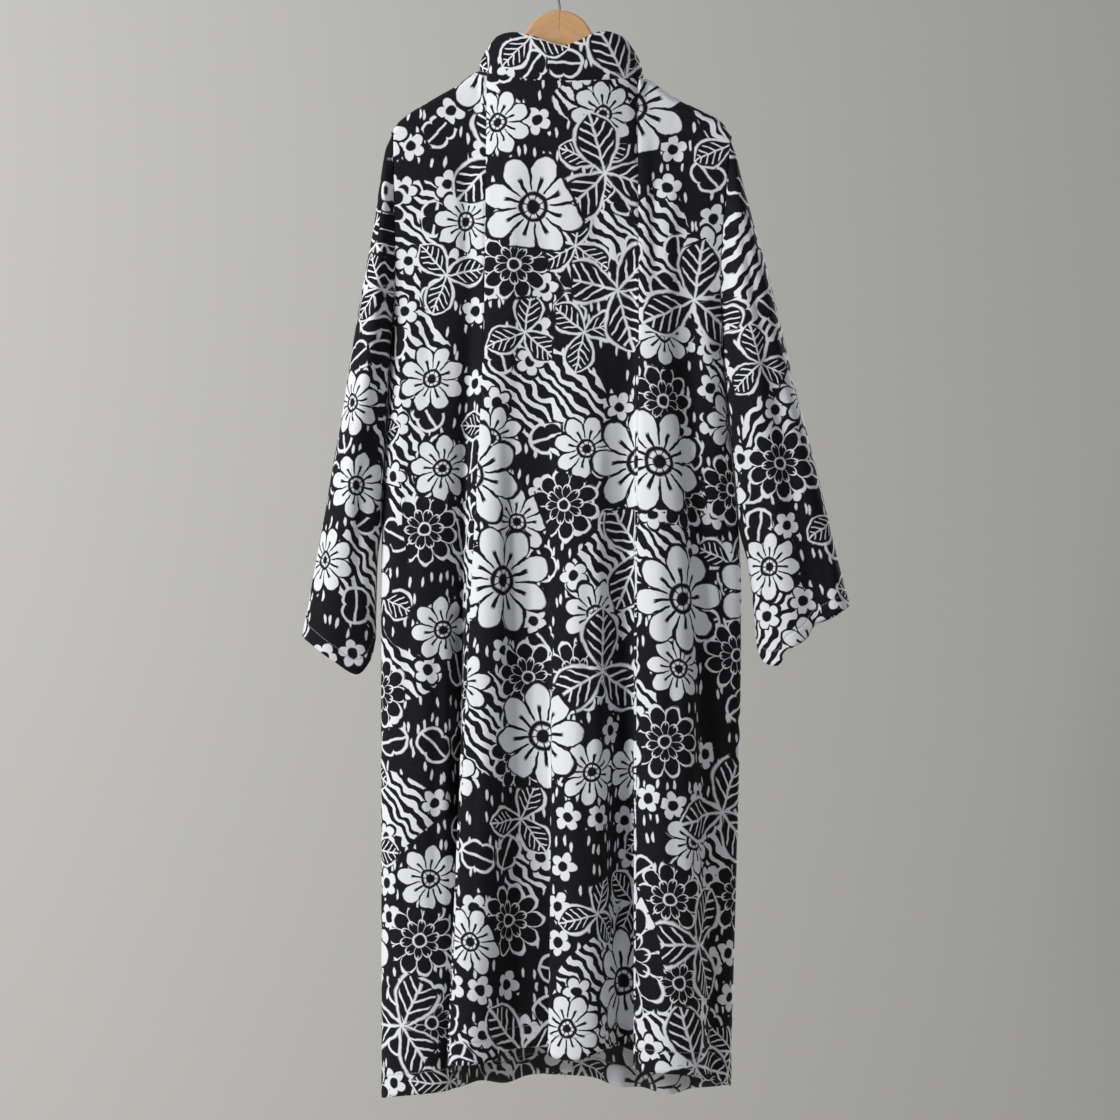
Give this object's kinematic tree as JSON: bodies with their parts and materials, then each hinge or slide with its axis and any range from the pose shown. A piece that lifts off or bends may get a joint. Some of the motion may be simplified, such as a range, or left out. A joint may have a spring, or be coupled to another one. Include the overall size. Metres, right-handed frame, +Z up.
{
  "type": "long coat on a wooden hanger",
  "caption": "Long printed cotton coat with a stand collar, long sleeves and a buttoned front, hung on a wooden hanger.",
  "frame": {"origin": "the inner top of the hanger's hook, where it bears on a rail", "axes": "+Z up, -Y out of the coat's front, +X to the wearer's left"},
  "size_m": [0.6344, 0.1395, 1.328],
  "materials": {
    "cloth_print": "matte",
    "button_dark": "satin",
    "wood_light": "satin",
    "wire_dark": "satin"
  },
  "bodies": {
    "root": {"back_left": "cloth_print", "back_centre": "cloth_print", "back_right": "cloth_print", "front_left": "cloth_print", "front_right": "cloth_print", "sleeve_left": "cloth_print", "sleeve_right": "cloth_print", "collar": "cloth_print", "button_1": "button_dark", "button_2": "button_dark", "button_3": "button_dark", "button_4": "button_dark", "button_5": "button_dark", "hanger_wood_left": "wood_light", "hanger_wood_right": "wood_light", "hanger_hook": "wire_dark"}
  },
  "joints": []
}
